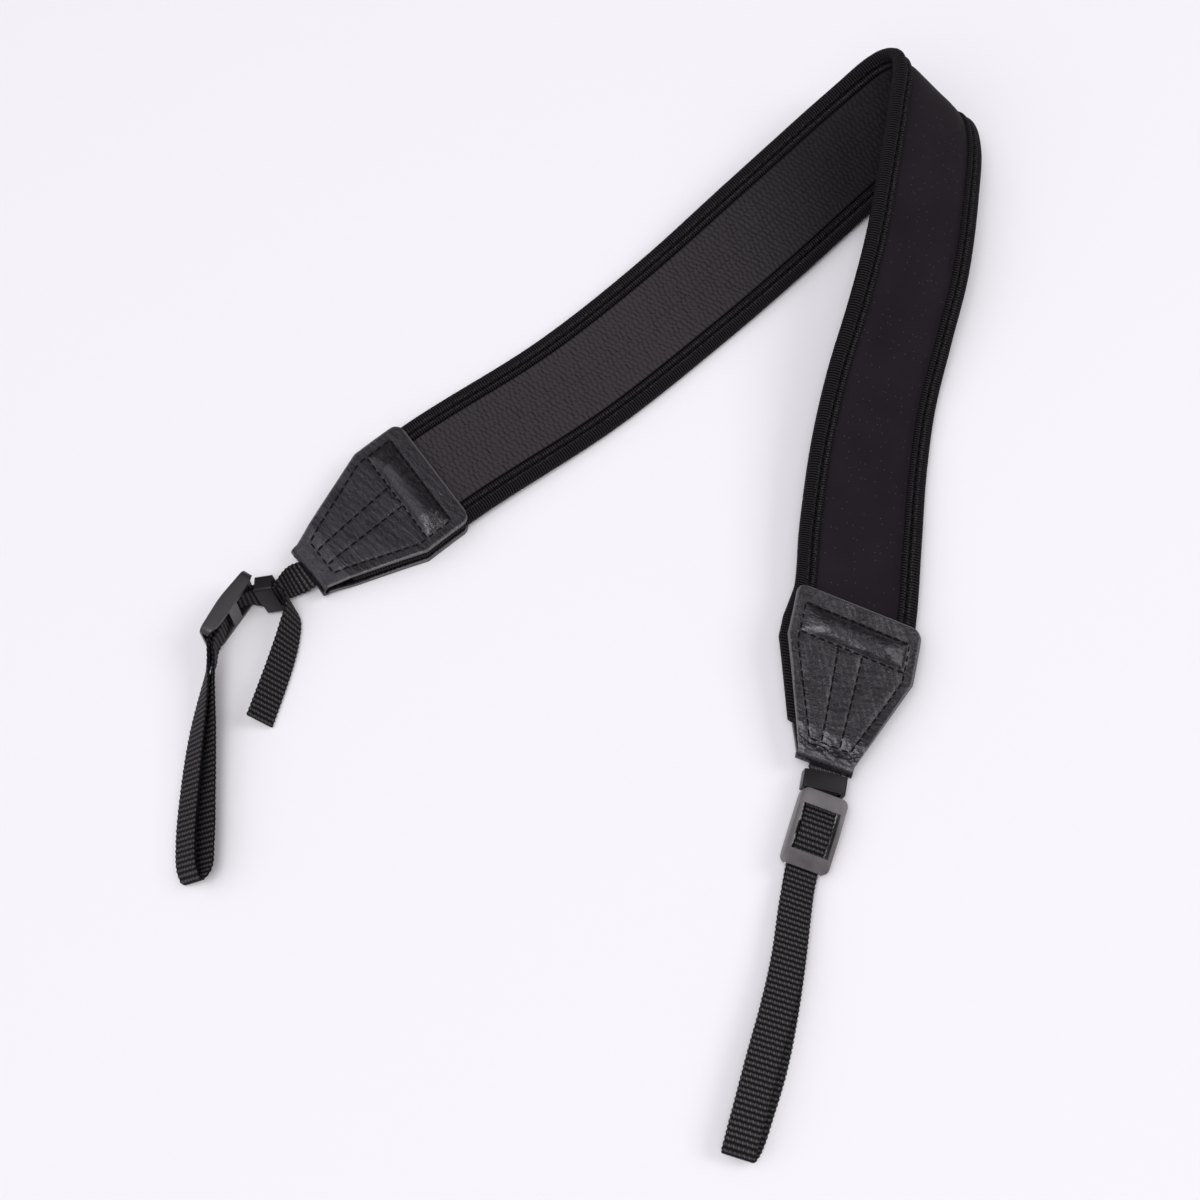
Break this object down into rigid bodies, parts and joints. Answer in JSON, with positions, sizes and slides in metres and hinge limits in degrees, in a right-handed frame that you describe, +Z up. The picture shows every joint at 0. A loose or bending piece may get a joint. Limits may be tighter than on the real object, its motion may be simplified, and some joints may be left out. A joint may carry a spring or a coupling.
{
  "type": "camera neck strap",
  "caption": "Padded camera neck strap with bound edges, leather end caps and narrow webbing loops held by keepers and sliding buckles, lying folded over.",
  "frame": {"origin": "bottom centre of the bounding box, on the floor the strap lies on", "axes": "+Z up from the floor, +Y from the webbing loops towards the fold, +X towards the leg that shows its smooth face"},
  "size_m": [0.2538, 0.3572, 0.0372],
  "materials": {
    "neoprene": "matte jersey over foam",
    "grip": "non-slip lining with small raised dashes",
    "binding": "ribbed woven tape",
    "leather": "pebbled grain, semi-gloss",
    "webbing": "ribbed narrow webbing",
    "plastic": "moulded, satin"
  },
  "bodies": {
    "root": {"neoprene_pad": "neoprene", "grip_lining": "grip", "binding_upper": "binding", "binding_lower": "binding", "end_cap_left": "leather", "end_cap_right": "leather", "webbing_left": "webbing", "webbing_right": "webbing", "keeper_left": "plastic", "keeper_right": "plastic", "triglide_left": "plastic", "triglide_right": "plastic"}
  },
  "joints": []
}
